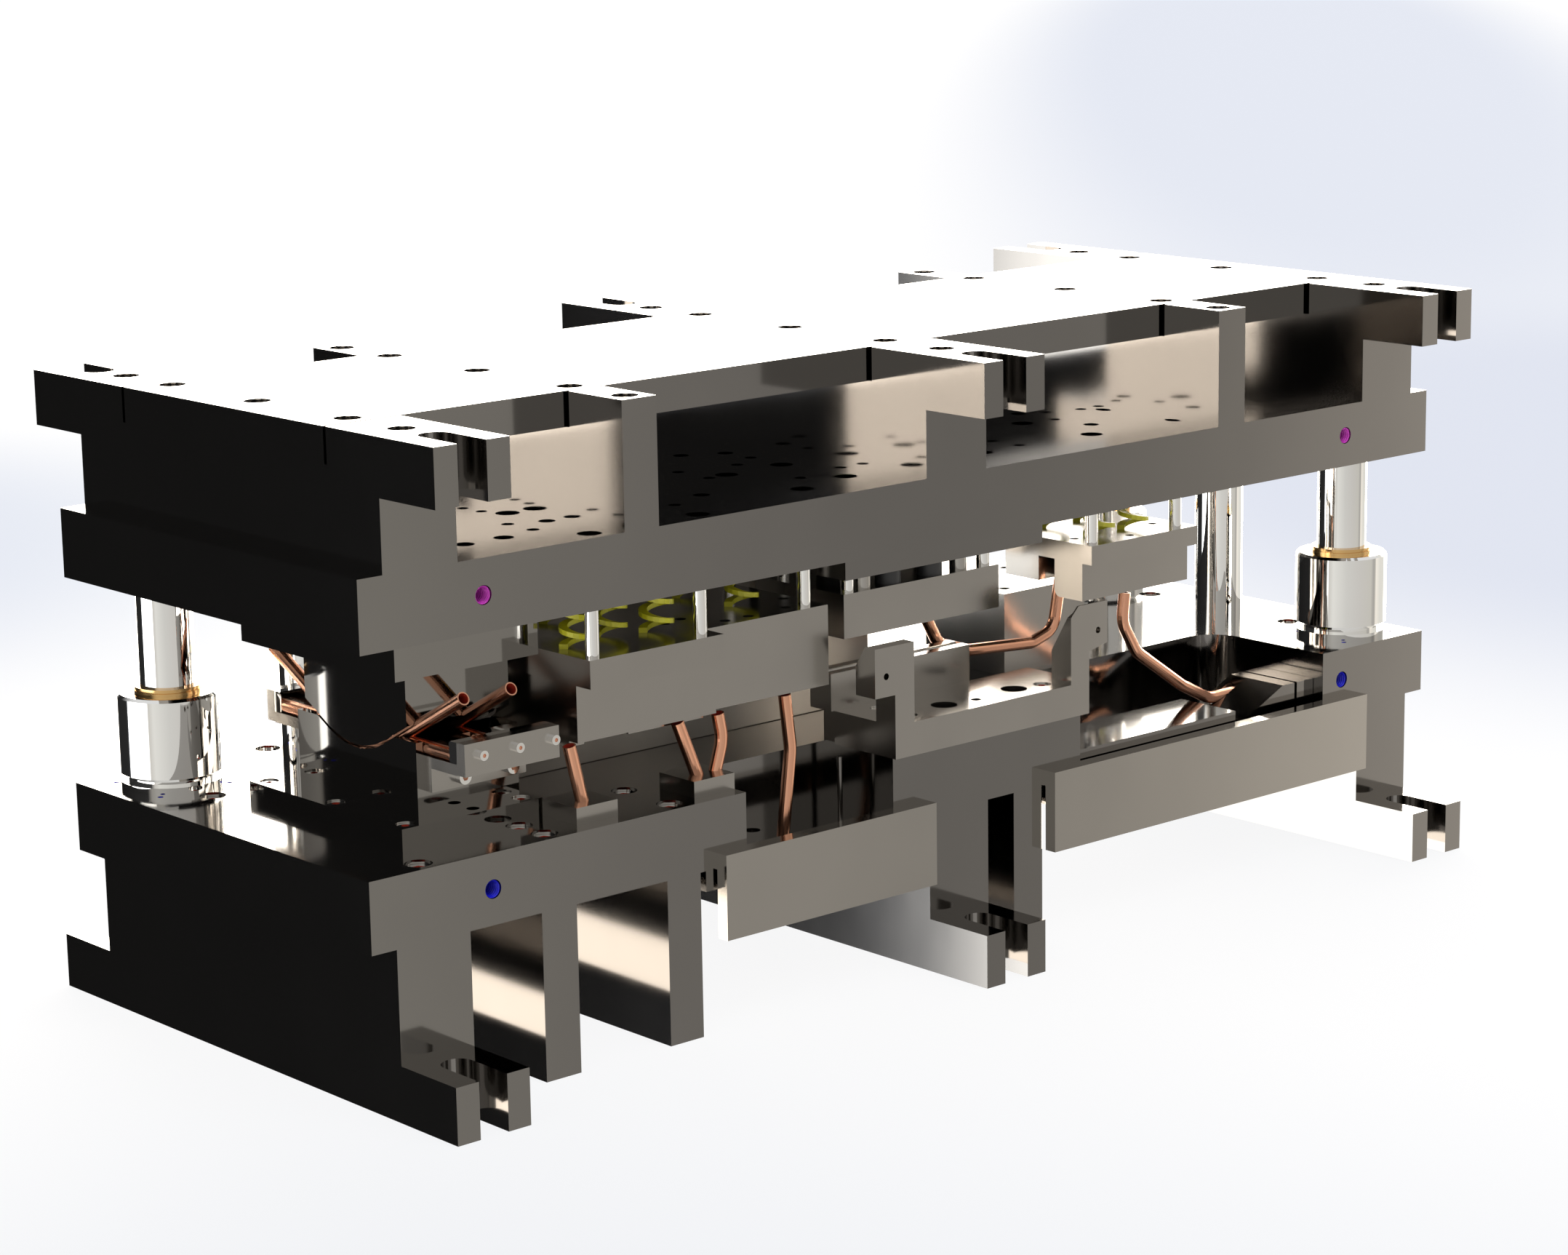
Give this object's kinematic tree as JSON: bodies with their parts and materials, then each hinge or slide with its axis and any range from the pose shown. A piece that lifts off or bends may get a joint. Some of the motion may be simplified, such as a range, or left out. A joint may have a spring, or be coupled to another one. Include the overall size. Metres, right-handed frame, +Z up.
{
  "type": "tube forming die",
  "caption": "Guided die set on slotted risers with a V bend station, spring-loaded pads, a cradle and bent copper tubes between its shoes.",
  "frame": {"origin": "centre of the die's footprint on the press bed", "axes": "+X along the shoes, +Y from the front to the back, +Z up"},
  "size_m": [1.06, 0.48, 0.46],
  "materials": {
    "plate_steel": "ground, mirror-like",
    "tool_steel": "ground, dark",
    "ground_steel": "polished",
    "bronze": "turned bronze",
    "copper": "drawn copper",
    "copper_plated": "copper plated",
    "spring_yellow": "yellow paint",
    "urethane": "dark urethane",
    "screw_steel": "dark screws with red sockets"
  },
  "bodies": {
    "lower_die": {"lower_shoe": "plate_steel", "lower_riser_left": "plate_steel", "lower_riser_center": "plate_steel", "lower_riser_right": "plate_steel", "lower_parallels": "plate_steel", "bridge_bar_left": "plate_steel", "bridge_bar_right": "plate_steel", "floor_plate_left": "plate_steel", "floor_plate_right": "plate_steel", "guide_bushes": "ground_steel", "bush_liners": "bronze", "stop_columns": "ground_steel", "shoe_screws": "screw_steel", "bend_base_plate": "plate_steel", "base_plate_screws": "screw_steel", "bend_die_block": "tool_steel", "bend_bracket_front": "plate_steel", "bend_bracket_rear": "plate_steel", "tube_stops": "ground_steel", "bracket_screws": "copper_plated", "bend_tubes": "copper", "insert_blocks": "plate_steel", "insert_tubes": "copper", "pit_tube": "copper", "cradle": "plate_steel", "cradle_screws": "screw_steel", "center_die_block": "plate_steel", "center_tube": "copper", "right_die_block": "plate_steel", "anvil_plate": "plate_steel", "wedge_block": "plate_steel", "wedge_backer": "plate_steel", "right_tube": "copper", "gauge_pin": "screw_steel"},
    "upper_die": {"upper_shoe": "plate_steel", "upper_riser_left": "plate_steel", "upper_riser_mid_left": "plate_steel", "upper_riser_center": "plate_steel", "upper_riser_mid_right": "plate_steel", "upper_riser_right": "plate_steel", "center_beam": "plate_steel", "top_screws": "screw_steel", "guide_posts": "ground_steel", "punch_plate": "plate_steel", "bend_punch": "tool_steel", "center_spacer": "plate_steel", "left_pad_springs": "spring_yellow", "center_pad_springs": "urethane", "right_pad_springs": "spring_yellow"},
    "left_stripper": {"left_pad_slab": "plate_steel", "left_pad_blocks": "plate_steel", "left_pad_shim": "plate_steel", "left_pad_bolts": "ground_steel"},
    "center_stripper": {"center_pad": "plate_steel", "center_pad_bolts": "ground_steel"},
    "right_stripper": {"right_pad_slab": "plate_steel", "right_pad_block": "plate_steel", "right_pad_bolts": "ground_steel"}
  },
  "joints": [
    {"name": "upper_die_lift", "type": "slide", "parent": "lower_die", "child": "upper_die", "axis": [0, 0, 1], "range_m": [0, 0.1]},
    {"name": "left_pad_travel", "type": "slide", "parent": "upper_die", "child": "left_stripper", "axis": [0, 0, 1], "range_m": [0, 0.01], "stiffness_N_per_m": 40000, "springref_m": -0.005, "deforming": ["left_pad_springs"]},
    {"name": "center_pad_travel", "type": "slide", "parent": "upper_die", "child": "center_stripper", "axis": [0, 0, 1], "range_m": [0, 0.008], "stiffness_N_per_m": 40000, "springref_m": -0.005, "deforming": ["center_pad_springs"]},
    {"name": "right_pad_travel", "type": "slide", "parent": "upper_die", "child": "right_stripper", "axis": [0, 0, 1], "range_m": [0, 0.01], "stiffness_N_per_m": 40000, "springref_m": -0.005, "deforming": ["right_pad_springs"]}
  ]
}
